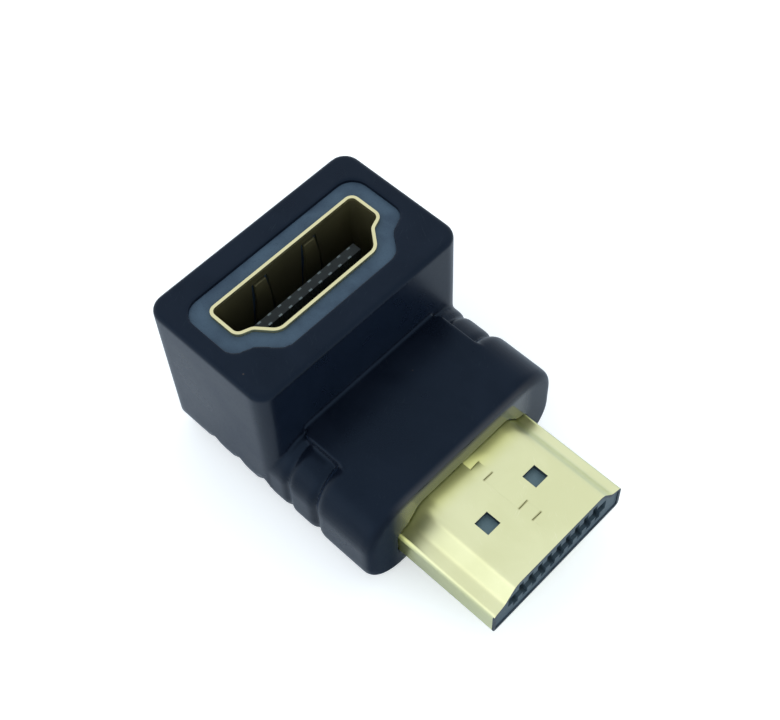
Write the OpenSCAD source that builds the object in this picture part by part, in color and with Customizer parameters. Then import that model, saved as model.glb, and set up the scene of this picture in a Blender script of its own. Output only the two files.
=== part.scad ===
// Right angle audio and video adapter. A D-shaped port faces up, a D-shaped plug points forward,
// and one soft housing is moulded round the board and the inner mould that join them.
// +Z runs up the port's axis, +X runs out along the plug and +Y runs across the width.
// The origin lies on the flat bottom, where the port's axis meets it. Sizes are in millimetres.

/* [Port block] */
// Width of the block, along the port's long side
block_w = 19.9; // [19:0.1:22]
// Depth of the block, from its rear face to its front wall
block_d = 12.0; // [11:0.1:13]
// Height of the block above the flat bottom
block_h = 16.0; // [15:0.1:18]
// Radius of the block's four upright corners
block_corner_r = 1.4; // [0.8:0.1:2]
// Fillet round the block's top edge and the rear edge of its foot
block_edge_r = 0.35; // [0.2:0.05:0.6]

/* [Grip round the plug] */
// Distance from the block's front wall to the grip's front face
grip_reach = 9.5; // [9:0.1:12]
// Length of the smooth grip behind its front face
grip_l = 5.8; // [4.5:0.05:6.5]
// Width of the grip
grip_w = 19.9; // [19:0.1:21]
// Height of the grip
grip_h = 9.3; // [9.1:0.1:10.4]
// Radius of the grip's long corners
grip_corner_r = 3.5; // [2.4:0.1:3.6]
// Fillet round the grip's front face
grip_front_r = 0.8; // [0.4:0.05:0.85]
// Fillet round the grip's rear edge, beside the last groove
grip_rear_r = 1.1; // [0.7:0.05:1.15]

/* [Ribbed neck] */
// Distance from one groove to the next
rib_pitch = 2.75; // [2.4:0.05:3.2]
// Depth of a groove below the ribs' crests
rib_rise = 0.4; // [0.3:0.05:0.5]
// Width of the flat land along each rib's crest
rib_land = 1.5; // [1:0.05:1.8]
// Width of the neck over its ribs
neck_w = 19.7; // [19:0.1:21]
// Radius of the long corners of the neck and of the block's foot
neck_corner_r = 3.2; // [2.4:0.1:3.4]
// Number of grooves that cross the bottom under the block
bottom_grooves = 3; // [2:1:3]
// Width of the raised panel on top of the neck
panel_w = 14.2; // [12:0.1:15]
// Height of the panel above the ribs
panel_rise = 0.7; // [0.4:0.05:0.75]
// Gap between the block's front wall and the panel
panel_gap = 0.3; // [0.2:0.05:0.8]
// Radius of the panel's rear corners
panel_corner_r = 0.6; // [0.3:0.05:1]

/* [D-shaped plug] */
// Width of the plug over its metal shell
plug_w = 13.9; // [13.6:0.05:14.2]
// Height of the plug over its metal shell
plug_h = 4.45; // [4.3:0.05:4.7]
// Height of the plug's upright sides above its wide face
plug_side_h = 2.6; // [2.5:0.05:2.7]
// Width across the inner ends of the two shoulders
plug_shoulder_w = 11.7; // [11.4:0.05:12]
// Height of the shoulders' inner ends above the wide face
plug_shoulder_h = 3.0; // [2.95:0.05:3.15]
// Width of the narrow face between its slopes
plug_top_w = 9.4; // [9:0.1:9.8]
// Height of the plug's axis above the flat bottom
plug_axis_h = 4.75; // [4.5:0.05:5]
// Length of plug that stands out of the grip
plug_reach = 9.1; // [8.5:0.1:11]
// Length of shell held inside the grip
plug_seat = 3.2; // [2.6:0.1:3.6]
// Side of the square latch holes
latch_w = 1.3; // [1.1:0.05:1.5]
// Distance of each latch hole's centre from the plug's middle
latch_y = 2.55; // [2.2:0.05:2.8]
// Distance of the latch holes' centres from the plug's tip
latch_from_tip = 4.6; // [4:0.1:5.2]
// Width of the seam where the folded sheet meets
seam_gap = 0.02; // [0.01:0.01:0.1]
// Length of each locking tab along the seam
seam_tab_l = 1.35; // [1.1:0.05:1.6]
// Reach of the locking tabs across the seam
seam_tab_w = 0.9; // [0.5:0.05:1]
// Flare on each side of a locking tab, so that it can't pull out
seam_flare = 0.06; // [0.02:0.02:0.16]
// Distance of the seam from the plug's middle line
seam_offset = 0.2; // [0:0.05:0.5]
// Distance from one locking tab to the next
seam_tab_pitch = 4.6; // [4:0.1:5]
// Distance from the plug's tip to the nearest locking tab's middle
seam_tab_from_tip = 3.1; // [2.6:0.1:3.5]

/* [Sheet and contacts] */
// Thickness of both metal shells
shell_t = 0.25; // [0.2:0.05:0.35]
// Clearance all round between a plug and the port's inside
fit_clear = 0.05; // [0.03:0.01:0.08]
// Number of contacts in the port and in the plug
contact_count = 19;
// Distance between neighbouring contacts, counted across both rows
contact_pitch = 0.5; // [0.48:0.01:0.52]
// Width of a contact
contact_w = 0.3; // [0.25:0.01:0.35]
// Thickness of a contact
contact_t = 0.15; // [0.1:0.01:0.2]
// Side clearance of a plug contact in the open part of its channel
channel_clear = 0.1; // [0.05:0.01:0.12]

/* [Plug insulator] */
// Depth of the insulator's front face behind the plug's tip
plug_face_recess = 0.1; // [0.05:0.05:0.6]
// Clearance at each end of a tongue in the plug's slot
slot_end_clear = 0.2; // [0.1:0.05:0.4]
// Clearance above and below a tongue in the slot
slot_face_clear = 0.25; // [0.15:0.05:0.3]
// Depth of the slot behind the insulator's front face
slot_l = 7.6; // [6:0.1:8.2]
// Depth of the contact channels above and below the slot
channel_h = 0.6; // [0.5:0.05:0.8]
// Length of a plug contact's tail on the board
tail_l = 2.0; // [1.6:0.1:2.4]
// Lead-in bevel round the slot's mouth
slot_bevel = 0.25; // [0.15:0.05:0.35]

/* [Port] */
// Depth of the surround below the block's top
surround_recess = 0.3; // [0.2:0.05:0.5]
// Width of the surround round the port's shell
surround_w = 1.3; // [1:0.05:1.4]
// Width of tongue beyond the outermost contacts
tongue_margin = 0.45; // [0.3:0.05:0.5]
// Thickness of the tongue
tongue_t = 0.8; // [0.75:0.05:1]
// Depth of the tongue's tip below the port's mouth
tongue_depth = 2.2; // [1.8:0.1:3]
// Height of the insulator's base above the board
port_base_h = 1.6; // [1.5:0.1:2.4]
// Height of the wells under the base, where the contacts spread to their tails
well_h = 1.2; // [0.9:0.05:1.3]
// Distance of each row of tails from the port's middle
tail_x = 1.3; // [1.1:0.05:1.5]
// Length of a tail below the board
tail_drop = 0.7; // [0.5:0.05:0.9]

/* [Spring fingers and legs] */
// Distance of each spring finger from the port's middle
finger_y = 2.45; // [2.2:0.05:2.6]
// Width of a finger at its free tip
finger_tip_w = 1.05; // [0.8:0.05:1.2]
// Width of a finger at its root
finger_root_w = 1.9; // [1.7:0.05:2.2]
// Depth of a finger's tip below the mouth
finger_tip_depth = 1.1; // [0.9:0.1:1.5]
// Depth of a finger's root below the mouth
finger_root_depth = 6.6; // [5.5:0.1:7]
// Width of the slot round a finger
finger_slot = 0.24; // [0.15:0.01:0.3]
// How far a finger bows into the port
finger_bow = 0.25; // [0.2:0.05:0.5]
// Depth of a finger's furthest bow below the mouth
finger_bow_depth = 2.5; // [2:0.1:4]
// How far a finger's tip still leans in after it turns back
finger_lip = 0.06; // [0:0.02:0.2]
// Width of a shell leg
leg_w = 1.2; // [1:0.05:1.4]
// Length of a shell leg below the board
leg_drop = 0.9; // [0.6:0.05:1.2]
// Clearance round a leg in its slot in the board
leg_clear = 0.1; // [0.05:0.01:0.15]

/* [Board and inner mould] */
// Thickness of the circuit board
board_t = 1.0; // [0.8:0.1:1.2]
// Width of board beyond the port's legs
board_margin = 0.5; // [0.4:0.05:0.7]
// Depth of the board under the port, centred on the port
board_d = 9.2; // [8.6:0.1:9.6]
// Diameter of the holes for the tails
tail_hole_d = 0.5; // [0.4:0.02:0.6]
// Thickness of the housing's floor under the inner mould
floor_t = 1.2; // [1:0.05:1.25]
// Wall of the inner mould round what it holds
mould_wall = 0.7; // [0.5:0.05:0.75]
// Length of plug shell that the inner mould holds
mould_grip = 0.5; // [0.3:0.05:1]

/* [Hidden] */
$fn = 48;
contact_middle = (contact_count + 1) / 2;

// Places along the plug
block_front_x = block_d / 2;
grip_front_x = block_front_x + grip_reach;
grip_rear_x = grip_front_x - grip_l;
plug_tip_x = grip_front_x + plug_reach;
plug_rear_x = grip_front_x - plug_seat;
plug_face_x = plug_tip_x - plug_face_recess;
mould_front_x = plug_rear_x + mould_grip;

// Widths that follow from the contacts and the shells
tongue_w = (contact_count - 1) * contact_pitch + contact_w + 2 * tongue_margin;
slot_w = tongue_w + 2 * slot_end_clear;
slot_h = tongue_t + 2 * slot_face_clear;
board_w = plug_w + 2 * (fit_clear + shell_t + board_margin);

// Places up the port
board_top_z = plug_axis_h + board_t / 2;
board_bottom_z = plug_axis_h - board_t / 2;
tongue_tip_z = block_h - tongue_depth;
neck_h = grip_h - panel_rise;

// A rib's land runs down into the grooves by an arc on each side that is tangent to it
rib_shoulder = (rib_pitch - rib_land) / 2;
rib_shoulder_r = (pow(rib_shoulder, 2) + pow(rib_rise, 2)) / (2 * rib_rise);

// Ribs are counted from the grip, first along the neck and then under the block, up to its plain foot
neck_ribs = ceil((grip_rear_x - block_front_x) / rib_pitch);
foot_front_x = grip_rear_x - (neck_ribs + bottom_grooves - 1) * rib_pitch;

// Cuts run past the face that they open by this much
over = 1;
// Arcs stand proud of the edges that they join by this much, so that each meets them in one clean line
join = 0.001;

function number(i) = str(i < 10 ? "0" : "", i);
function port_name(i) = str("port_contact_", number(i));
function plug_name(i) = str("plug_contact_", number(i));

// Outlines: points run anticlockwise, and each corner has a signed radius, negative where it is hollow

function unit(v) = v / norm(v);
function wrap(points, i) = points[(i + len(points)) % len(points)];
function before(points, i) = unit(points[i] - wrap(points, i - 1));
function after(points, i) = unit(wrap(points, i + 1) - points[i]);
function outward(v) = [v[1], -v[0]];

// The same outline with every edge moved outwards by grow
function grown(points, grow) = [
    for (i = [0:len(points) - 1])
        let (a = outward(before(points, i)), b = outward(after(points, i)))
        points[i] + grow * (a + b) / (1 + a * b)
];

// Distance from a corner to where its arc begins, for a turn between directions a and b
function setback(a, b, r) = abs(r) * sqrt((1 - a * b) / (1 + a * b));
function arc_start(points, radii, i) =
    points[i] - setback(before(points, i), after(points, i), radii[i]) * before(points, i);
function arc_end(points, radii, i) =
    points[i] + setback(before(points, i), after(points, i), radii[i]) * after(points, i);
function arc_centre(points, radii, i) = arc_start(points, radii, i) - radii[i] * outward(before(points, i));

module rounded(points, radii) {
    last = len(points) - 1;
    difference() {
        union() {
            polygon([for (i = [0:last]) each [arc_start(points, radii, i), arc_end(points, radii, i)]]);
            for (i = [0:last])
                if (radii[i] > 0)
                    translate(arc_centre(points, radii, i)) circle(r = radii[i] + join);
        }
        for (i = [0:last])
            if (radii[i] < 0)
                translate(arc_centre(points, radii, i)) circle(r = join - radii[i]);
    }
}

// A strip of even thickness along a path of points, square at both ends
function side_point(path, i, half) =
    i == 0 ? path[0] + half * outward(after(path, 0))
    : i == len(path) - 1 ? path[i] + half * outward(before(path, i))
    : let (a = outward(before(path, i)), b = outward(after(path, i))) path[i] + half * (a + b) / (1 + a * b);

module strip(path, thickness) {
    last = len(path) - 1;
    polygon(concat(
        [for (i = [0:last]) side_point(path, i, thickness / 2)],
        [for (i = [last:-1:0]) side_point(path, i, -thickness / 2)]
    ));
}

// The plug's D outline over its metal, centred, with the wide face at the bottom
d_points = [for (p = [
    [-plug_w / 2, 0],
    [plug_w / 2, 0],
    [plug_w / 2, plug_side_h],
    [plug_shoulder_w / 2, plug_shoulder_h],
    [plug_top_w / 2, plug_h],
    [-plug_top_w / 2, plug_h],
    [-plug_shoulder_w / 2, plug_shoulder_h],
    [-plug_w / 2, plug_side_h],
]) p - [0, plug_h / 2]];
d_radii = [0.4, 0.4, 0.5, -1.0, 0.9, 0.9, -1.0, 0.5];
hollow_r_min = 0.3;

// The outline moved outwards by grow, with its bends kept parallel
module d_outline(grow = 0) {
    rounded(grown(d_points, grow), [
        for (r = d_radii) r > 0 ? r + grow : min(r + grow, -hollow_r_min)
    ]);
}

// The surround keeps the outline's form with softer corners
surround_radii = [1.5, 1.5, 1.2, -1.4, 1.5, 1.5, -1.4, 1.2];

module surround_outline() {
    rounded(grown(d_points, fit_clear + shell_t + surround_w), surround_radii);
}

// Drawings with x across the part and y up, made solid along the part
module along(from_x, to_x) {
    translate([from_x, 0, 0]) rotate([90, 0, 90]) linear_extrude(height = to_x - from_x) children();
}

// Outlines drawn with the wide face down stand across the plug, or look up with the wide face to the rear
module along_plug(from_x, to_x) {
    translate([0, 0, plug_axis_h]) along(from_x, to_x) children();
}

module up_port(from_z, to_z) {
    translate([0, 0, from_z]) rotate([0, 0, -90]) linear_extrude(height = to_z - from_z) children();
}

// Drawings with x along the part and y up, made solid across the part about y_mid
module across(width, y_mid = 0) {
    translate([0, y_mid, 0]) rotate([90, 0, 0]) linear_extrude(height = width, center = true) children();
}

// A box from its lowest corner to its highest
module box(low, high) {
    translate(low) cube(high - low);
}

// Housing

// A bar along +Z of rounded rectangular section. Its children draw the edge profile from the
// middle, at x = 0, out to x = $out, and the profile goes round all four sides and corners.
module moulded_bar(size_x, size_y, corner_r) {
    for (turn = [0:3]) {
        flat_x = (turn % 2 == 0 ? size_x : size_y) / 2 - corner_r;
        flat_y = (turn % 2 == 0 ? size_y : size_x) / 2 - corner_r;
        rotate([0, 0, 90 * turn]) translate([flat_x, flat_y, 0])
            rotate_extrude(angle = 90) let ($out = corner_r) children();
    }
    rotate([90, 0, 0]) linear_extrude(height = size_y - 2 * corner_r, center = true)
        let ($out = size_x / 2) {
            children();
            mirror([1, 0]) children();
        }
    rotate([90, 0, 90]) linear_extrude(height = size_x - 2 * corner_r, center = true)
        let ($out = size_y / 2) {
            children();
            mirror([1, 0]) children();
        }
}

// Edge profile with a fillet at its start and at its end; start_r is the larger
module filleted_edge(length, start_r, end_r) {
    square([$out - start_r, length]);
    translate([0, start_r]) square([$out, length - start_r - end_r]);
    translate([0, start_r]) square([$out - end_r, length - start_r]);
    translate([$out - start_r, start_r]) circle(r = start_r);
    translate([$out - end_r, length - end_r]) circle(r = end_r);
}

// Edge profile of one rib: a flat land with a rounded shoulder down to the groove on each side
module rib_edge() {
    square([$out - rib_rise, rib_pitch]);
    translate([0, rib_shoulder]) square([$out, rib_land]);
    intersection() {
        square([$out, rib_pitch]);
        for (y = [rib_shoulder, rib_shoulder + rib_land])
            translate([$out - rib_shoulder_r, y]) circle(r = rib_shoulder_r);
    }
}

// A bar that lies along +X with its flat bottom at the height given
module lying(from_x, height, bottom_z = 0) {
    translate([from_x, 0, bottom_z + height / 2]) rotate([0, 90, 0]) children();
}

module rib(i) {
    lying(grip_rear_x - i * rib_pitch, neck_h) moulded_bar(neck_h, neck_w, neck_corner_r) rib_edge();
}

// The block: an upright bar above, and below it the ribs and a plain foot that wrap its long corners
module block() {
    wall_h = 2 * block_h;
    intersection() {
        translate([0, 0, -over]) moulded_bar(block_d, block_w, block_corner_r)
            filleted_edge(block_h + over, block_edge_r, block_edge_r);
        union() {
            lying(-block_d / 2, wall_h, rib_rise) moulded_bar(wall_h, block_w, neck_corner_r)
                filleted_edge(block_d + over, block_edge_r, block_edge_r);
            for (i = [neck_ribs + 1:neck_ribs + bottom_grooves - 1])
                rib(i);
            lying(-block_d / 2, neck_h) moulded_bar(neck_h, neck_w, neck_corner_r)
                filleted_edge(foot_front_x + block_d / 2, block_edge_r, block_edge_r);
        }
    }
}

module raised_panel() {
    rear_x = block_front_x + panel_gap;
    half_w = panel_w / 2;
    corners = [
        [rear_x, -half_w],
        [grip_rear_x + grip_rear_r, -half_w],
        [grip_rear_x + grip_rear_r, half_w],
        [rear_x, half_w],
    ];
    translate([0, 0, grip_h / 2]) linear_extrude(height = grip_h / 2)
        rounded(corners, [panel_corner_r, 0, 0, panel_corner_r]);
}

// Everything that the soft housing is moulded over, as one plain form
module mould_form(top_z) {
    slab_bottom_z = plug_axis_h - plug_h / 2 - mould_wall;
    slab_top_z = plug_axis_h + plug_h / 2 + mould_wall;
    up_port(slab_bottom_z, top_z) surround_outline();
    along(-board_d / 2, board_d / 2) slab_outline(board_w / 2 + mould_wall, slab_top_z);
    along(0, mould_front_x) slab_outline(plug_w / 2 + mould_wall, slab_top_z);
}

// Section of the inner mould's slab: its bottom corners follow the housing's
module slab_outline(half_w, top_z) {
    corner_r = neck_corner_r - floor_t;
    rounded([[-half_w, floor_t], [half_w, floor_t], [half_w, top_z], [-half_w, top_z]], [corner_r, corner_r, 0, 0]);
}

module housing() color([0.10, 0.14, 0.18]) {
    difference() {
        union() {
            block();
            for (i = [1:neck_ribs])
                rib(i);
            lying(grip_rear_x, grip_h) moulded_bar(grip_h, grip_w, grip_corner_r)
                filleted_edge(grip_l, grip_rear_r, grip_front_r);
            raised_panel();
        }
        mould_form(block_h + over);
        along_plug(plug_rear_x, grip_front_x + over) d_outline();
    }
}

// Inner mould

module inner_mould() color([0.28, 0.36, 0.43]) {
    difference() {
        mould_form(block_h - surround_recess);
        up_port(board_top_z, block_h + over) d_outline(fit_clear + shell_t);
        board_form();
        along_plug(plug_rear_x, plug_tip_x) d_outline();
        port_legs(board_bottom_z);
        plug_legs();
        box([-tail_x - contact_t, -tongue_w / 2, board_bottom_z - tail_drop],
            [tail_x + contact_t, tongue_w / 2, board_bottom_z]);
        box([plug_rear_x - tail_l, -tongue_w / 2, board_bottom_z - contact_t],
            [plug_rear_x, tongue_w / 2, board_top_z + contact_t]);
    }
}

// Port

// Distance of both broad walls' middles from the port's axis
wall_x = plug_h / 2 + fit_clear + shell_t / 2;
// A leg stands under the middle of each upright side
leg_x = (plug_side_h - plug_h) / 2;

// A spring finger's outline on its wall, as half widths at depths below the mouth
module finger_outline(grow) {
    tip = [finger_tip_w / 2 + grow, -finger_tip_depth + grow];
    root = [finger_root_w / 2 + grow, -finger_root_depth];
    polygon([tip, [-tip[0], tip[1]], [-root[0], root[1]], root]);
}

// Places children, drawn across and up on a wall, at all four fingers
module on_fingers() {
    reach = shell_t + 2 * finger_bow;
    for (wall = [-1, 1], side = [-1, 1])
        translate([wall * wall_x, side * finger_y, block_h]) rotate([90, 0, 90])
            linear_extrude(height = 2 * reach, center = true) children();
}

// The bent strip that the fingers of one broad wall are cut from
module bowed_strip(wall) {
    x = wall * wall_x;
    root_z = block_h - finger_root_depth;
    path = [
        [x, root_z - shell_t],
        [x, root_z + shell_t],
        [x - wall * finger_bow, block_h - finger_bow_depth],
        [x - wall * finger_lip, block_h - finger_tip_depth + shell_t],
    ];
    across(plug_top_w) strip(path, shell_t);
}

module port_legs(top_z, grow = 0) {
    leg_y = plug_w / 2 + fit_clear;
    low = [leg_x - leg_w / 2 - grow, leg_y - grow, board_bottom_z - leg_drop];
    high = [leg_x + leg_w / 2 + grow, leg_y + shell_t + grow, top_z];
    for (side = [0, 1])
        mirror([0, side]) box(low, high);
}

module port_shell() color([0.87, 0.89, 0.70]) {
    difference() {
        up_port(board_top_z, block_h) difference() {
            d_outline(fit_clear + shell_t);
            d_outline(fit_clear);
        }
        on_fingers() finger_outline(finger_slot);
    }
    intersection() {
        on_fingers() union() {
            finger_outline(0);
            translate([0, -finger_root_depth]) square([finger_root_w, 2 * shell_t], center = true);
        }
        union() {
            bowed_strip(-1);
            bowed_strip(1);
        }
    }
    port_legs(board_top_z);
}

// Contact i's row: odd places stand in the wide wall's row and even places in the narrow wall's
function row_side(i) = i % 2 == 1 ? -1 : 1;
function contact_y(i) = (i - contact_middle) * contact_pitch;

port_row_x = tongue_t / 2 - contact_t / 2;

// One port contact: down the tongue, out across the top of its well and down through the board
module port_contact_form(i) {
    bend_z = board_top_z + well_h - contact_t / 2;
    path = [
        [port_row_x, tongue_tip_z],
        [port_row_x, bend_z],
        [tail_x, bend_z],
        [tail_x, board_bottom_z - tail_drop],
    ];
    rotate([0, 0, row_side(i) < 0 ? 180 : 0])
        across(contact_w, row_side(i) * contact_y(i)) strip(path, contact_t);
}

module port_contact(i) color([0.80, 0.70, 0.42]) {
    port_contact_form(i);
}

module port_insulator() color([0.06, 0.06, 0.07]) {
    difference() {
        union() {
            up_port(board_top_z, board_top_z + port_base_h) d_outline(fit_clear);
            box([-tongue_t / 2, -tongue_w / 2, board_top_z], [tongue_t / 2, tongue_w / 2, tongue_tip_z]);
        }
        for (i = [1:contact_count])
            rotate([0, 0, row_side(i) < 0 ? 180 : 0])
                translate([0, row_side(i) * contact_y(i) - contact_w / 2, 0]) {
                    box([port_row_x - contact_t / 2, 0, board_top_z],
                        [tongue_t / 2, contact_w, tongue_tip_z + over]);
                    box([port_row_x - contact_t / 2, 0, board_top_z - over],
                        [tail_x + contact_t / 2, contact_w, board_top_z + well_h]);
                }
    }
}

// Plug

channel_top = slot_h / 2 + channel_h;
plug_tail_z = board_t / 2 + contact_t / 2;
beam_z = channel_top - contact_t;
touch_z = tongue_t / 2 + contact_t / 2;
beam_rise_l = 1.0;
touch_from_face = 1.7;
beam_end_from_face = 0.7;
touch_slope_l = 1.6;

// One plug contact: a tail on the board, a beam in its channel and a bump that meets the tongue
module plug_contact_form(i) {
    path = [
        [plug_rear_x - tail_l, plug_tail_z],
        [plug_rear_x + shell_t, plug_tail_z],
        [plug_rear_x + shell_t + beam_rise_l, beam_z],
        [plug_face_x - touch_from_face - touch_slope_l, beam_z],
        [plug_face_x - touch_from_face, touch_z],
        [plug_face_x - beam_end_from_face, beam_z],
    ];
    translate([0, 0, plug_axis_h]) mirror([0, 0, row_side(i) < 0 ? 1 : 0])
        across(contact_w, contact_y(i)) strip(path, contact_t);
}

module plug_contact(i) color([0.80, 0.70, 0.42]) {
    plug_contact_form(i);
}

module plug_insulator() color([0.22, 0.29, 0.36]) {
    open_x = plug_face_x - slot_l;
    difference() {
        along_plug(plug_rear_x, plug_face_x) d_outline(-shell_t);
        box([open_x, -slot_w / 2, plug_axis_h - slot_h / 2],
            [plug_face_x + over, slot_w / 2, plug_axis_h + slot_h / 2]);
        translate([plug_face_x, 0, plug_axis_h]) across(slot_w)
            polygon([[-slot_bevel, 0], [over, -slot_h / 2 - slot_bevel - over],
                [over, slot_h / 2 + slot_bevel + over]]);
        for (i = [1:contact_count])
            translate([0, contact_y(i), plug_axis_h]) mirror([0, 0, row_side(i) < 0 ? 1 : 0]) {
                box([plug_rear_x - over, -contact_w / 2, board_t / 2],
                    [plug_face_x + over, contact_w / 2, channel_top]);
                box([open_x, -contact_w / 2 - channel_clear, 0],
                    [plug_face_x + over, contact_w / 2 + channel_clear, channel_top]);
            }
    }
}

// The seam's middle line from the plug's tip back to its rear, with a flared tab at each step
function seam_tab(middle_x) = [
    [middle_x + seam_tab_l / 2 - seam_flare, 0],
    [middle_x + seam_tab_l / 2, seam_tab_w],
    [middle_x - seam_tab_l / 2, seam_tab_w],
    [middle_x - seam_tab_l / 2 + seam_flare, 0],
];

module seam_cut() {
    first_x = plug_tip_x - seam_tab_from_tip;
    path = concat(
        [[plug_tip_x + over, 0]],
        seam_tab(first_x),
        seam_tab(first_x - seam_tab_pitch),
        [[plug_rear_x - over, 0]]
    );
    translate([0, -seam_offset, plug_axis_h + plug_h / 2 - shell_t - over])
        linear_extrude(height = shell_t + 2 * over) strip(path, seam_gap);
}

module plug_legs() {
    leg_h = board_t + 2 * contact_t;
    for (side = [-1, 1])
        translate([plug_rear_x - tail_l, side * (plug_w / 2 - shell_t / 2) - shell_t / 2, plug_axis_h - leg_h / 2])
            cube([tail_l + shell_t, shell_t, leg_h]);
}

module plug_shell() color([0.87, 0.89, 0.70]) {
    difference() {
        along_plug(plug_rear_x, plug_tip_x) difference() {
            d_outline();
            d_outline(-shell_t);
        }
        for (side = [-1, 1])
            translate([plug_tip_x - latch_from_tip, side * latch_y, plug_axis_h])
                cube([latch_w, latch_w, plug_h + 2 * over], center = true);
        seam_cut();
    }
    plug_legs();
}

// Board

module board_form() {
    half_w = plug_w / 2 - shell_t;
    box([-board_d / 2, -board_w / 2, board_bottom_z], [board_d / 2, board_w / 2, board_top_z]);
    box([0, -half_w, board_bottom_z], [plug_rear_x, half_w, board_top_z]);
}

module circuit_board() color([0.10, 0.30, 0.16]) {
    difference() {
        board_form();
        port_legs(board_top_z + over, leg_clear);
        for (i = [1:contact_count])
            translate([row_side(i) * tail_x, contact_y(i), board_bottom_z - over])
                cylinder(d = tail_hole_d, h = board_t + 2 * over, $fn = 24);
    }
}

housing();
inner_mould();
port_shell();
port_insulator();
plug_shell();
plug_insulator();
circuit_board();
for (i = [1:contact_count]) {
    port_contact(i);
    plug_contact(i);
}
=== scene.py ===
# %% [markdown]
# # A right angle video adapter
#
# The object is a small moulded block with a D-shaped port on top and a D-shaped plug at the front.
# Its solids come from a CAD model, so this script dresses them: it sets the
# photograph's camera, lights the object softly, remakes the parts whose edges the camera sees up close,
# and gives every piece a procedural finish.

# %% The CAD frame
import math

import bpy
from mathutils import Matrix, Vector


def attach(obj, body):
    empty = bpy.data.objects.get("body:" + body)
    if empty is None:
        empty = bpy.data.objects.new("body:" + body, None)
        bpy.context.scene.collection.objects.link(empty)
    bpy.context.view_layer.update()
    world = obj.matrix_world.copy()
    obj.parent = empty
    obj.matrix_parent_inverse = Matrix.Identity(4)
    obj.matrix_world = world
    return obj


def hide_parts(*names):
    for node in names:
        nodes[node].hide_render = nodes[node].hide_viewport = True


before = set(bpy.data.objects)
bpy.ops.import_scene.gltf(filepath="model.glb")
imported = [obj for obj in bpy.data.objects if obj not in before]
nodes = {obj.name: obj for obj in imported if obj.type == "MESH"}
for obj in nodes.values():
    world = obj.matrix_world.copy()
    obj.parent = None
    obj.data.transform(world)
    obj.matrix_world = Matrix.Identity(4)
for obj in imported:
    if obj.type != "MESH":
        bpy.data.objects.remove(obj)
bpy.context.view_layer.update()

MM = 0.001

# %% [markdown]
# ## The camera
#
# The adapter's edges run along three square directions, and the photograph shows where each set of
# parallel edges converges. That fixes the lens and the direction together. The plug's known width then
# fixes the distance. Here the camera is placed by where it stands, where it looks and how far it is
# rolled, because those three words can be read and changed one at a time.

# %% The photograph's camera
CAMERA_AT = Vector((47.044, -36.673, 95.976)) * MM
CAMERA_LOOKS_AT = Vector((5.539, 2.582, 7.0)) * MM
CAMERA_ROLL = math.radians(-3.143)
LENS_MM = 64.54
SENSOR_MM = 36.0


def facing(at, aim):
    """The place and turn of something that stands at one point and looks at another along its -Z."""
    return Matrix.Translation(at) @ (aim - at).to_track_quat("-Z", "Y").to_matrix().to_4x4()


def place_camera():
    lens = bpy.data.cameras.new("photo_camera")
    lens.lens = LENS_MM
    lens.sensor_width = SENSOR_MM
    lens.clip_start = 0.001
    lens.clip_end = 10.0
    camera = bpy.data.objects.new("photo_camera", lens)
    bpy.context.scene.collection.objects.link(camera)
    camera.matrix_world = facing(CAMERA_AT, CAMERA_LOOKS_AT) @ Matrix.Rotation(CAMERA_ROLL, 4, "Z")
    bpy.context.scene.camera = camera
    return camera


camera = place_camera()
print("camera", [round(v / MM, 1) for v in camera.location], "lens", LENS_MM)

# %% [markdown]
# ## Building node trees in few words
#
# Every finish below is a tree of shader nodes. Adding a node, setting its menus and joining its sockets
# takes many lines when each is written out, so one helper does all three: a plain value is set on the
# socket, and another node's output is linked to it.

# %% Node helpers
def put(tree, kind, menus=None, **inputs):
    """Adds a shader node. menus sets its own properties; each other word names an input socket."""
    node = tree.nodes.new("ShaderNode" + kind)
    for name, value in (menus or {}).items():
        setattr(node, name, value)
    for name, value in inputs.items():
        key = int(name[1:]) if name[0] == "_" and name[1:].isdigit() else name.replace("_", " ")
        if isinstance(value, bpy.types.NodeSocket):
            tree.links.new(value, node.inputs[key])
        else:
            node.inputs[key].default_value = value
    return node


def maths(tree, operation, first, second=0.0):
    return put(tree, "Math", {"operation": operation}, _0=first, _1=second).outputs[0]


def times(tree, first, second):
    return maths(tree, "MULTIPLY", first, second)


def plus(tree, first, second):
    return maths(tree, "ADD", first, second)


def mix_colour(tree, amount, first, second):
    node = put(tree, "Mix", {"data_type": "RGBA"}, _0=amount, _6=first, _7=second)
    return node.outputs[2]


def new_material(name):
    """A material with its output and a Principled shader, ready for more nodes."""
    material = bpy.data.materials.new(name)
    material.use_nodes = True
    tree = material.node_tree
    return material, tree, tree.nodes["Principled BSDF"]


# %% [markdown]
# ## Floor and light
#
# The photograph is a product shot on white. A large pale floor gives that white and keeps a soft
# shadow under the adapter. Small things look small only if their lights are large beside them, so nearly
# all of the light is a pale sky, as inside a light tent, with one low fill on the camera's left for the
# plug's side. Light Path lifts the floor and turns the sky white for the camera alone, so the paper turns
# white without throwing more light on the object. The slight blue of floor and sky, and the strength of
# the fill, are fitted to tones in the photograph, because the real room isn't known.

# %% Floor, lamps and sky
FLOOR_HALF = 3.0
FLOOR_COLOUR = (0.79, 0.85, 0.89, 1.0)
FLOOR_LIFT = 0.45
SKY_COLOUR = (0.93, 0.97, 1.0, 1.0)
SKY_STRENGTH = 1.0
WHITE = (1, 1, 1, 1)
FILL_AT = Vector((-0.10, -0.66, 0.20))
FILL_AIM = Vector((9, 0, 6)) * MM
FILL_WIDTH, FILL_HEIGHT = 1.10, 0.44
FILL_WATTS = 0.6


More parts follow.
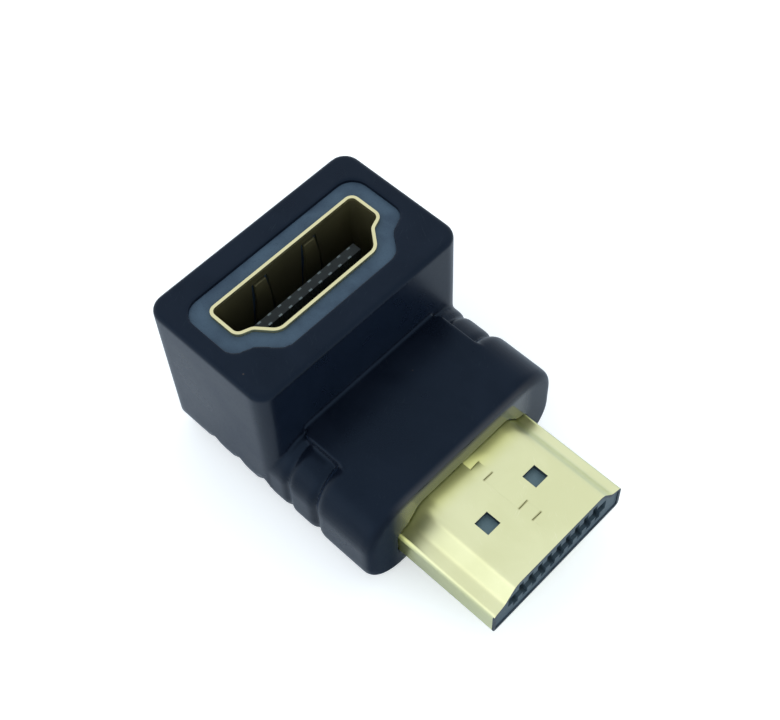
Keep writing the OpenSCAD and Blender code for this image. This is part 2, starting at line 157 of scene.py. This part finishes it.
def make_floor():
    bpy.ops.object.select_all(action="DESELECT")
    bpy.ops.mesh.primitive_plane_add(size=2 * FLOOR_HALF, location=(0, 0, -0.02 * MM))
    floor = bpy.context.object
    floor.name = "floor"
    bpy.ops.object.transform_apply(location=True, rotation=True, scale=True)
    material, tree, paper = new_material("white_paper")
    paper.inputs["Base Color"].default_value = FLOOR_COLOUR
    paper.inputs["Roughness"].default_value = 0.9
    paper.inputs["Specular IOR Level"].default_value = 0.1
    lift = times(tree, put(tree, "LightPath").outputs["Is Camera Ray"], FLOOR_LIFT)
    paper.inputs["Emission Color"].default_value = WHITE
    tree.links.new(lift, paper.inputs["Emission Strength"])
    floor.data.materials.append(material)


def soft_box(name, at, aim, width, height, watts):
    lamp = bpy.data.lights.new(name, "AREA")
    lamp.shape = "RECTANGLE"
    lamp.size = width
    lamp.size_y = height
    lamp.energy = watts
    box = bpy.data.objects.new(name, lamp)
    box.matrix_world = facing(at, aim)
    bpy.context.scene.collection.objects.link(box)


def make_sky():
    world = bpy.data.worlds.new("pale_sky")
    world.use_nodes = True
    tree = world.node_tree
    sky = tree.nodes["Background"]
    to_camera = put(tree, "LightPath").outputs["Is Camera Ray"]
    tree.links.new(mix_colour(tree, to_camera, SKY_COLOUR, WHITE), sky.inputs["Color"])
    sky.inputs["Strength"].default_value = SKY_STRENGTH
    bpy.context.scene.world = world


make_floor()
soft_box("left_fill", FILL_AT, FILL_AIM, FILL_WIDTH, FILL_HEIGHT, FILL_WATTS)
make_sky()
bpy.context.scene.view_settings.view_transform = "Standard"

# %% [markdown]
# ## Copies that can be worked on
#
# A CAD node is never changed itself. A piece that needs more than a finish starts as a copy of its node
# and stands in for it. The node's mesh is loose triangles, so the copy's corners are merged first: a
# bevel, a boolean and a smoothing all need faces that share their corners.

# %% Copying a CAD node as one closed mesh
MERGE_WITHIN = 0.0012 * MM


def only(piece):
    bpy.ops.object.select_all(action="DESELECT")
    piece.select_set(True)
    bpy.context.view_layer.objects.active = piece


def edit_all(piece, operator, **settings):
    """Runs one edit-mode operator on the whole mesh."""
    only(piece)
    bpy.ops.object.mode_set(mode="EDIT")
    bpy.ops.mesh.select_all(action="SELECT")
    operator(**settings)
    bpy.ops.object.mode_set(mode="OBJECT")


def copy_of(node_name, piece_name):
    source = nodes[node_name]
    piece = bpy.data.objects.new(piece_name, source.data.copy())
    bpy.context.scene.collection.objects.link(piece)
    piece.data.materials.clear()
    edit_all(piece, bpy.ops.mesh.remove_doubles, threshold=MERGE_WITHIN)
    return piece


def finish_modifier(piece, kind, **settings):
    """Adds one modifier, sets it and applies it."""
    only(piece)
    modifier = piece.modifiers.new(kind.lower(), kind)
    for name, value in settings.items():
        setattr(modifier, name, value)
    bpy.ops.object.modifier_apply(modifier=modifier.name)


def stand_for(piece, node_name):
    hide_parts(node_name)
    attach(piece, "root")
    print(piece.name, "faces", len(piece.data.polygons))


# %% [markdown]
# ## The moulded housing
#
# Moulded rubber has no sharp edge anywhere. Rebuilding the copy as small even cells and smoothing them
# rounds every edge at once, where a bevel would have to be steered round each rib. In the photograph
# the grooves of the underside run on round the block's lower edge, so a leaning round bar first cuts each
# of them there. Their depths are fitted to the wavy outline.

# %% The moulded housing
HOUSING_CELL = 0.13 * MM
HOUSING_TRIANGLES = 170000
GROOVES = ((4.2, 0.54), (1.45, 0.48), (-1.3, 0.44))
GROOVE_R = 1.1 * MM
BAR_LENGTH = 6.0 * MM
GROOVE_LEANS = math.radians(25)
CORNER_R = 3.2 * MM
HALF_WIDTH = 9.95 * MM


def wrap_groove(piece, x, side, depth):
    """Carries one groove of the underside round the rounded lower edge, by a round bar that leans."""
    away = CORNER_R + GROOVE_R - depth
    out, down = away * math.cos(GROOVE_LEANS), away * math.sin(GROOVE_LEANS)
    at = (x, side * (HALF_WIDTH - CORNER_R + out), CORNER_R - down)
    bpy.ops.object.select_all(action="DESELECT")
    bpy.ops.mesh.primitive_cylinder_add(vertices=48, radius=GROOVE_R, depth=BAR_LENGTH, location=at,
                                        rotation=(-side * GROOVE_LEANS, 0, 0))
    bar = bpy.context.object
    bpy.ops.object.transform_apply(location=True, rotation=True, scale=True)
    finish_modifier(piece, "BOOLEAN", operation="DIFFERENCE", object=bar, solver="EXACT")
    bpy.data.objects.remove(bar)


housing = copy_of("housing", "housing_skin")
for groove_x, groove_depth in GROOVES:
    for side in (-1, 1):
        wrap_groove(housing, groove_x * MM, side, groove_depth * MM)
finish_modifier(housing, "REMESH", mode="VOXEL", voxel_size=HOUSING_CELL, adaptivity=0.0)
finish_modifier(housing, "SMOOTH", factor=0.5, iterations=6)
cells = len(housing.data.polygons)
finish_modifier(housing, "DECIMATE", ratio=min(1.0, HOUSING_TRIANGLES / (2 * cells)))
print("housing cells", cells)
only(housing)
bpy.ops.object.shade_smooth()
stand_for(housing, "housing")

# %% [markdown]
# ## The plug's folded shell
#
# The shell is folded from one sheet, and its two edges meet in a seam with tabs on the top. The metal
# keeps its sharp form, so flat faces are merged back into one each. In the photograph the seam's long
# runs almost vanish and its tabs' ends show, so the long walls move together and the ends apart. A line
# is cut just behind the tip, where the finish changes. The cut edge is beveled with overlap clamped:
# 0.07 mm is asked for and only about 0.003 mm comes out, so the edge still looks sharp.

# %% The plug's folded shell
SHEET_EDGE = 0.07 * MM
TIP_X = 24.6 * MM
TIP_LINE = 0.12 * MM
PLUG_TOP_Z = 6.975 * MM
SEAM_Y = 0.9 * MM
SEAM_DEPTH = 0.3 * MM
SEAM_CLOSES = 0.018 * MM
TABS_FROM_X, TABS_TO_X = 15.6 * MM, 24.1 * MM
TAB_OPENS = 0.008 * MM


def merge_flat(piece):
    edit_all(piece, bpy.ops.mesh.dissolve_limited, angle_limit=math.radians(0.5))


def round_edges(piece, width, here):
    """Bevels the sharp edges for which here(one end, other end) says yes."""
    only(piece)
    bpy.ops.object.mode_set(mode="EDIT")
    bpy.ops.mesh.select_mode(type="EDGE")
    bpy.ops.mesh.select_all(action="DESELECT")
    bpy.ops.mesh.edges_select_sharp(sharpness=math.radians(50))
    bpy.ops.object.mode_set(mode="OBJECT")
    points = piece.data.vertices
    for edge in piece.data.edges:
        edge.select = edge.select and here(points[edge.vertices[0]].co, points[edge.vertices[1]].co)
    print(piece.name, "edges rounded:", sum(edge.select for edge in piece.data.edges))
    bpy.ops.object.mode_set(mode="EDIT")
    bpy.ops.mesh.bevel(offset=width, segments=3, affect="EDGES", clamp_overlap=True)
    bpy.ops.object.mode_set(mode="OBJECT")


def near(value, target):
    return abs(value - target) < 0.002 * MM


def seam_shift(face):
    """How far a wall of the seam moves, or None for a face that stays."""
    wall = abs(face.normal.z) < 0.1 and face.center.z > PLUG_TOP_Z - SEAM_DEPTH
    if not wall or abs(face.center.y) >= SEAM_Y:
        return None
    if face.normal.y < -0.9:
        return Vector((0, -SEAM_CLOSES, 0))
    if abs(face.normal.x) > 0.9 and TABS_FROM_X < face.center.x < TABS_TO_X:
        return Vector((-math.copysign(TAB_OPENS, face.normal.x), 0, 0))
    return None


def press_seam(piece):
    """Butts the seam's long walls together and opens the ends of its tabs a little."""
    shifts = {}
    for face in piece.data.polygons:
        shift = seam_shift(face)
        if shift is not None:
            for index in face.vertices:
                shifts.setdefault(index, {})[shift.to_tuple(9)] = shift
    for index, found in shifts.items():
        for shift in found.values():
            piece.data.vertices[index].co += shift
    print(piece.name, "seam points moved:", len(shifts))


def at_tip(a, b):
    return near(a.x, TIP_X) and near(b.x, TIP_X)


plug_shell = copy_of("plug_shell", "plug_shell_sheet")
merge_flat(plug_shell)
press_seam(plug_shell)
edit_all(plug_shell, bpy.ops.mesh.bisect, plane_co=(TIP_X - TIP_LINE, 0, 0), plane_no=(1, 0, 0))
round_edges(plug_shell, SHEET_EDGE, at_tip)
bpy.ops.object.shade_smooth_by_angle(angle=math.radians(35))
stand_for(plug_shell, "plug_shell")

# %% [markdown]
# ## Pockets under the latch holes
#
# Through the plug's two latch holes the photograph shows a small pale floor below the sheet. The plug's
# insulator gets a shallow square pocket under each hole. The holes' places are the model's own; the
# pockets' side and depth are guesses.

# %% Pockets in the plug's insulator
LATCH_AT = Vector((20.0, 2.55, 0)) * MM
POCKET_SIDE = 1.5 * MM
POCKET_DEPTH = 0.4 * MM
INSULATOR_TOP_Z = 6.725 * MM


def sink_pocket(piece, x, y, z):
    """Cuts a square pocket down from z into the piece."""
    bpy.ops.object.select_all(action="DESELECT")
    bpy.ops.mesh.primitive_cube_add(size=1.0, location=(x, y, z))
    cutter = bpy.context.object
    cutter.scale = (POCKET_SIDE, POCKET_SIDE, 2 * POCKET_DEPTH)
    bpy.ops.object.transform_apply(location=True, rotation=True, scale=True)
    finish_modifier(piece, "BOOLEAN", operation="DIFFERENCE", object=cutter, solver="EXACT")
    bpy.data.objects.remove(cutter)


plug_core = copy_of("plug_insulator", "plug_insulator_core")
for side in (-1, 1):
    sink_pocket(plug_core, LATCH_AT.x, side * LATCH_AT.y, INSULATOR_TOP_Z)
stand_for(plug_core, "plug_insulator")

# %% [markdown]
# ## The port's folded shell
#
# The port's shell is folded from a sheet as the plug's is, and only its rim shows. It is treated in the
# same way, without a seam. Its rim asks for the same 0.07 mm bevel, and about 0.004 mm comes out.

# %% The port's folded shell
MOUTH_Z = 16.0 * MM


def at_mouth(a, b):
    return near(a.z, MOUTH_Z) and near(b.z, MOUTH_Z)


port_shell = copy_of("port_shell", "port_shell_sheet")
merge_flat(port_shell)
round_edges(port_shell, SHEET_EDGE, at_mouth)
bpy.ops.object.shade_smooth_by_angle(angle=math.radians(35))
stand_for(port_shell, "port_shell")

# %% [markdown]
# ## Effects that several finishes share
#
# Four things happen on more than one material of this adapter. Spark-eroded steel moulds leave a fine
# grain on the rubber and on both insulators. Colour drifts slowly over any surface. Handling leaves short
# fine scratches on gold and on rubber, and dust settles as specks. Each is one node group with its own
# sizes in millimetres, so that a finish only chooses how much of it to use. They stand for the kind of
# mark that the photograph shows, and copy none of its marks one by one.

# %% Shared node groups
def new_group(name, numbers):
    """A group with a Place vector and named numbers coming in. Outputs are added by give()."""
    group = bpy.data.node_groups.new(name, "ShaderNodeTree")
    group.interface.new_socket(name="Place", in_out="INPUT", socket_type="NodeSocketVector")
    for word, value in numbers.items():
        socket = group.interface.new_socket(name=word, in_out="INPUT", socket_type="NodeSocketFloat")
        socket.default_value = value
    return group, group.nodes.new("NodeGroupInput").outputs


def give(group, **outputs):
    out = group.nodes.new("NodeGroupOutput")
    for word, value in outputs.items():
        group.interface.new_socket(name=word, in_out="OUTPUT", socket_type="NodeSocketFloat")
        group.links.new(value, out.inputs[word])


def noise(tree, place, scale, detail=2.0, roughness=0.5, distortion=0.0):
    return put(tree, "TexNoise", Vector=place, Scale=scale, Detail=detail, Roughness=roughness,
               Distortion=distortion).outputs["Fac"]


def ramp(tree, value, low, high):
    """0 below low, 1 above high and a soft step between them."""
    node = put(tree, "MapRange", {"interpolation_type": "SMOOTHSTEP"}, Value=value)
    for word, number in (("From Min", low), ("From Max", high)):
        if isinstance(number, bpy.types.NodeSocket):
            tree.links.new(number, node.inputs[word])
        else:
            node.inputs[word].default_value = number
    return node.outputs[0]


def make_mould_grain():
    group, given = new_group("mould_grain", {"Cells per mm": 6.0, "Evenness": 0.5})
    fine = noise(group, given["Place"], given["Cells per mm"], detail=3.0, roughness=0.6)
    coarse = noise(group, given["Place"], times(group, given["Cells per mm"], 0.22), detail=2.0)
    both = put(group, "Mix", {"data_type": "FLOAT"}, _0=given["Evenness"], _2=coarse, _3=fine).outputs[0]
    give(group, Height=both, Pits=ramp(group, fine, 0.56, 0.70))
    return group


def make_tone_drift():
    group, given = new_group("tone_drift", {"Patches per mm": 0.3})
    slow = noise(group, given["Place"], given["Patches per mm"], detail=4.0, roughness=0.55, distortion=0.4)
    give(group, Drift=ramp(group, slow, 0.30, 0.70))
    return group


def make_fine_scratches():
    group, given = new_group("fine_scratches", {"Amount": 0.5})
    marks = []
    for stretch, turn in (((0.55, 9.0, 9.0), 0.5), ((9.0, 0.6, 9.0), -0.35)):
        turned = put(group, "VectorRotate", {"rotation_type": "Z_AXIS"}, Vector=given["Place"], Angle=turn)
        long_way = put(group, "VectorMath", {"operation": "MULTIPLY"}, _0=turned.outputs[0], _1=stretch)
        marks.append(ramp(group, noise(group, long_way.outputs[0], 1.6, detail=2.0), 0.66, 0.74))
    line = maths(group, "MAXIMUM", marks[0], marks[1])
    broken = ramp(group, noise(group, given["Place"], 0.55, detail=2.0), 0.42, 0.62)
    give(group, Scratch=times(group, times(group, line, broken), given["Amount"]))
    return group


def make_dust():
    group, given = new_group("dust", {"Specks per mm": 0.5, "Size": 0.06})
    cell = put(group, "TexVoronoi", Vector=given["Place"], Scale=given["Specks per mm"], Randomness=1.0)
    give(group, Speck=ramp(group, cell.outputs["Distance"], given["Size"], 0.0))
    return group


mould_grain = make_mould_grain()
tone_drift = make_tone_drift()
fine_scratches = make_fine_scratches()
dust = make_dust()


def use(tree, group, place, **numbers):
    node = tree.nodes.new("ShaderNodeGroup")
    node.node_tree = group
    tree.links.new(place, node.inputs["Place"])
    for word, value in numbers.items():
        node.inputs[word.replace("_", " ")].default_value = value
    return node.outputs


def millimetres(tree):
    """Object coordinates, which are metres, as millimetres."""
    place = put(tree, "TexCoord").outputs["Object"]
    return put(tree, "VectorMath", {"operation": "SCALE"}, _0=place, Scale=1000.0).outputs[0]


def bump(tree, shader, height, depth_mm):
    node = put(tree, "Bump", Height=height, Strength=1.0, Distance=depth_mm * MM)
    tree.links.new(node.outputs[0], shader.inputs["Normal"])


def dress(material, *pieces):
    for piece in pieces:
        piece.data.materials.clear()
        piece.data.materials.append(material)
    print(material.name, "on", len(pieces), "pieces")


def dress_cut_faces(piece, material, here):
    """Gives a second finish to the faces for which here(centre, normal) says yes."""
    piece.data.materials.append(material)
    last = len(piece.data.materials) - 1
    for face in piece.data.polygons:
        if here(face.center, face.normal):
            face.material_index = last


print("groups:", [g.name for g in bpy.data.node_groups])

# %% [markdown]
# ## The housing's rubber
#
# The housing is soft PVC, nearly black with blue in it. It is satin rather than glossy: seen from above
# it stays dark, and at a low angle its sides turn a slate blue. So its specular level is low, and the
# blue comes from a tinted reflection over a very dark base. The mould's grain is fine and even. In the
# photograph the grip's front face is duller than the rest, with a shinier patch round the plug that gives
# back its gold. What makes it so isn't known: masks along the three axes and a clear coat are fitted to
# its tones.

# %% Housing finish
def housing_rubber():
    material, tree, shader = new_material("housing_rubber")
    place = millimetres(tree)
    drift = use(tree, tone_drift, place, Patches_per_mm=0.25)["Drift"]
    grain = use(tree, mould_grain, place, Cells_per_mm=7.0, Evenness=0.55)
    scratch = use(tree, fine_scratches, place, Amount=0.35)["Scratch"]
    speck = use(tree, dust, place, Specks_per_mm=0.42, Size=0.045)["Speck"]
    base = mix_colour(tree, drift, (0.0022, 0.0035, 0.0082, 1), (0.0042, 0.0064, 0.0130, 1))
    rubbed = mix_colour(tree, scratch, base, (0.022, 0.030, 0.038, 1))
    dusty = mix_colour(tree, times(tree, speck, 0.5), rubbed, (0.16, 0.12, 0.09, 1))
    tree.links.new(dusty, shader.inputs["Base Color"])
    at = put(tree, "SeparateXYZ", Vector=place).outputs
    front = ramp(tree, at["X"], 14.9, 15.4)
    rough = plus(tree, times(tree, drift, 0.05), 0.27)
    rough = plus(tree, rough, times(tree, front, 0.45))
    rough = plus(tree, rough, times(tree, grain["Pits"], 0.08))
    tree.links.new(rough, shader.inputs["Roughness"])
    right = times(tree, ramp(tree, at["Y"], 5.6, 7.8), 0.62)
    patch = times(tree, front, maths(tree, "SUBTRACT", ramp(tree, at["Y"], -7.8, -5.6), right))
    patch = times(tree, patch, ramp(tree, at["Z"], 10.4, 8.4))
    tree.links.new(patch, shader.inputs["Coat Weight"])
    shader.inputs["Coat Roughness"].default_value = 0.09
    shader.inputs["Coat IOR"].default_value = 1.62
    shader.inputs["Specular IOR Level"].default_value = 0.24
    shader.inputs["Specular Tint"].default_value = (0.42, 0.66, 1.0, 1)
    shader.inputs["Sheen Weight"].default_value = 0.08
    shader.inputs["Sheen Roughness"].default_value = 0.4
    shader.inputs["Sheen Tint"].default_value = (0.24, 0.50, 1.0, 1)
    bump(tree, shader, grain["Height"], 0.006)
    return material


dress(housing_rubber(), housing)

# %% [markdown]
# ## The harder plastics
#
# The surround of the port is a harder, duller plastic in slate blue. The port's insulator is black, and
# the plug's is a dark slate. All three come out of a mould, so they share the grain group, each with its
# own colour, roughness and depth. The floors of the two pockets are painted paler, as the photograph shows
# them: painted light, where light falls in through the latch holes.

# %% Plastic finishes
def moulded_plastic(name, dark, light, roughness, specular, depth_mm):
    """depth_mm is how deep the mould's grain goes."""
    material, tree, shader = new_material(name)
    place = millimetres(tree)
    drift = use(tree, tone_drift, place, Patches_per_mm=0.4)["Drift"]
    grain = use(tree, mould_grain, place, Cells_per_mm=9.0, Evenness=0.7)
    speck = use(tree, dust, place, Specks_per_mm=0.5, Size=0.04)["Speck"]
    base = mix_colour(tree, drift, (*dark, 1), (*light, 1))
    half_dark = (*[part * 0.5 for part in dark], 1)
    pitted = mix_colour(tree, times(tree, grain["Pits"], 0.3), base, half_dark)
    dusty = mix_colour(tree, times(tree, speck, 0.35), pitted, (0.20, 0.17, 0.14, 1))
    tree.links.new(dusty, shader.inputs["Base Color"])
    rough = plus(tree, times(tree, grain["Height"], 0.12), roughness - 0.06)
    tree.links.new(rough, shader.inputs["Roughness"])
    shader.inputs["Specular IOR Level"].default_value = specular
    bump(tree, shader, grain["Height"], depth_mm)
    return material


dress(moulded_plastic("surround_slate", (0.038, 0.066, 0.104), (0.060, 0.102, 0.150), 0.62, 0.2, 0.010),
      nodes["inner_mould"])
dress(moulded_plastic("port_black", (0.015, 0.020, 0.022), (0.024, 0.031, 0.034), 0.55, 0.2, 0.006),
      nodes["port_insulator"])
dress(moulded_plastic("plug_dark_slate", (0.046, 0.078, 0.106), (0.066, 0.106, 0.134), 0.5, 0.3, 0.004),
      plug_core)

# Painted light: a paler slate on the pocket floors stands for the light that falls on them through the
# latch holes.
pocket_slate_painted_light = moulded_plastic("pocket_slate_painted_light", (0.14, 0.23, 0.27), (0.19, 0.29, 0.33), 0.5, 0.3, 0.004)


def pocket_floor(centre, normal):
    return normal.z > 0.9 and near(centre.z, INSULATOR_TOP_Z - POCKET_DEPTH)


dress_cut_faces(plug_core, pocket_slate_painted_light, pocket_floor)

# %% [markdown]
# ## Gold plate
#
# The shells are sheet steel with a thin pale gold plate, greener and lighter than jewellery gold. Thin
# plate over drawn sheet keeps a soft sheen, so roughness is moderate. Where plate looks at plate the
# colour is taken twice and turns a little olive by itself. The photograph is deeper still at the plug's
# root, inside the port's rim and along the ends of the seam's tabs, so masks darken those with painted
# shade.
# The sheet's thickness shows dull grey-blue at the plug's tip and in the latch holes, where the walls' dark
# tone is also painted shade.

# %% Gold finishes
TAB_ENDS_X = (16.26, 17.55, 20.86, 22.14)
TABS_MIDDLE_Y = 0.25
TAB_SHADE_OLIVE = (0.34, 0.33, 0.15, 1)


def tab_end_painted_shade(tree, place):
    """Painted shade: soft strokes along the ends of the seam's tabs, at listed places and in a given tone.
    """
    at = put(tree, "SeparateXYZ", Vector=place).outputs
    strokes = 0.0
    for x in TAB_ENDS_X:
        off = maths(tree, "ABSOLUTE", maths(tree, "SUBTRACT", at["X"], x))
        strokes = maths(tree, "MAXIMUM", ramp(tree, off, 0.12, 0.04), strokes)
    aside = maths(tree, "ABSOLUTE", maths(tree, "SUBTRACT", at["Y"], TABS_MIDDLE_Y))
    across = ramp(tree, aside, 0.58, 0.40)
    on_top = times(tree, across, ramp(tree, at["Z"], 6.85, 6.95))
    return times(tree, times(tree, strokes, on_top), 0.8)


def gold_plate(name, bright, deep, roughness, scratches, turns=None, tabs=False):
    """turns, for painted shade at one end, a deeper tone: (axis, start and end in mm, colour, added
    roughness).
    """
    material, tree, shader = new_material(name)
    place = millimetres(tree)
    drift = use(tree, tone_drift, place, Patches_per_mm=0.22)["Drift"]
    scratch = use(tree, fine_scratches, place, Amount=scratches)["Scratch"]
    speck = use(tree, dust, place, Specks_per_mm=0.6, Size=0.035)["Speck"]
    base = mix_colour(tree, drift, (*bright, 1), (*deep, 1))
    marked = mix_colour(tree, scratch, base, (0.90, 0.89, 0.66, 1))
    tone = mix_colour(tree, times(tree, speck, 0.5), marked, (0.36, 0.33, 0.20, 1))
    dull = plus(tree, times(tree, drift, 0.05), roughness)
    dull = plus(tree, dull, times(tree, scratch, 0.10))
    # Painted shade: olive strokes at the ends of the seam's tabs.
    if tabs:
        tone = mix_colour(tree, tab_end_painted_shade(tree, place), tone, TAB_SHADE_OLIVE)
    # Painted shade: the turns mask gives one end a deeper tone, for the shade at the plug's root and inside
    # the port's rim.
    if turns:
        axis, start, end, colour, rougher = turns
        inside = ramp(tree, put(tree, "SeparateXYZ", Vector=place).outputs[axis], start, end)
        tone = mix_colour(tree, inside, tone, (*colour, 1))
        dull = plus(tree, dull, times(tree, inside, rougher))
    tree.links.new(tone, shader.inputs["Base Color"])
    tree.links.new(dull, shader.inputs["Roughness"])
    shader.inputs["Metallic"].default_value = 1.0
    bump(tree, shader, times(tree, scratch, -1.0), 0.0012)
    return material


def cut_steel_and_shade():
    """The sheet's cut thickness, which looks dull grey-blue in the photograph, darker in patches. On the
    latch holes' walls its dark tone is also painted shade.
    """
    material, tree, shader = new_material("cut_steel_and_shade")
    place = millimetres(tree)
    drift = use(tree, tone_drift, place, Patches_per_mm=1.2)["Drift"]
    grain = use(tree, mould_grain, place, Cells_per_mm=12.0, Evenness=0.6)
    base = mix_colour(tree, drift, (0.035, 0.050, 0.070, 1), (0.070, 0.095, 0.125, 1))
    tree.links.new(base, shader.inputs["Base Color"])
    rough = plus(tree, times(tree, grain["Height"], 0.2), 0.45)
    tree.links.new(rough, shader.inputs["Roughness"])
    shader.inputs["Metallic"].default_value = 0.7
    return material


LOWER_HALF_Z = 4.5 * MM
LOWER_LIP_Z = 3.2 * MM
LATCH_HALF_X = 0.8 * MM
LATCH_HALF_Y = 0.75 * MM


def plug_cut_and_shade(centre, normal):
    """Says which faces show the sheet's thickness: the tip, its lower lip and the latch holes' walls, whose
    dark tone is painted shade.
    """
    tip = centre.x > TIP_X - SHEET_EDGE and (centre.z < LOWER_HALF_Z or normal.z < 0.5)
    lip = centre.x > TIP_X - TIP_LINE and centre.z < LOWER_LIP_Z and normal.z > 0.5
    # Painted shade: the latch holes' walls take the dark steel, which stands for the shade inside the
    # holes.
    by_hole = abs(centre.x - LATCH_AT.x) < LATCH_HALF_X and abs(abs(centre.y) - LATCH_AT.y) < LATCH_HALF_Y
    return tip or lip or (by_hole and abs(normal.z) < 0.1)


# Painted shade: the plug's gold turns a deeper olive towards its root by the housing, with soft strokes at
# the seam's tab ends.
dress(gold_plate("plug_gold", (0.80, 0.81, 0.50), (0.75, 0.76, 0.45), 0.30, 0.4,
                 ("X", 17.6, 15.4, (0.74, 0.75, 0.27), 0.0), tabs=True), plug_shell)
dress_cut_faces(plug_shell, cut_steel_and_shade(), plug_cut_and_shade)
# Painted shade: the port's gold turns dark brown just inside its rim.
dress(gold_plate("port_gold", (0.78, 0.74, 0.45), (0.72, 0.68, 0.40), 0.30, 0.3,
                 ("Z", 15.90, 15.65, (0.22, 0.21, 0.12), 0.20)), port_shell)
dress(gold_plate("plug_contact_gold", (0.80, 0.66, 0.32), (0.70, 0.55, 0.24), 0.30, 0.2),
      *[node for name, node in nodes.items() if name.startswith("plug_contact")])
dress(gold_plate("port_contact_dull", (0.17, 0.21, 0.22), (0.12, 0.15, 0.16), 0.45, 0.2),
      *[node for name, node in nodes.items() if name.startswith("port_contact")])

# %% [markdown]
# ## The circuit board
#
# The board is inside and never seen, but it is part of the object, so it gets the green solder mask
# that such a board has, with the weave of its glass cloth showing faintly through.

# %% Board finish
def solder_mask():
    material, tree, shader = new_material("solder_mask")
    place = millimetres(tree)
    drift = use(tree, tone_drift, place, Patches_per_mm=0.5)["Drift"]
    weave = put(tree, "TexWave", {"bands_direction": "X"}, Vector=place, Scale=1.6, Distortion=0.6)
    base = mix_colour(tree, drift, (0.010, 0.095, 0.038, 1), (0.020, 0.140, 0.055, 1))
    tree.links.new(base, shader.inputs["Base Color"])
    rough = plus(tree, times(tree, drift, 0.1), 0.25)
    tree.links.new(rough, shader.inputs["Roughness"])
    bump(tree, shader, weave.outputs["Fac"], 0.004)
    return material


dress(solder_mask(), nodes["circuit_board"])
print("materials:", [m.name for m in bpy.data.materials])
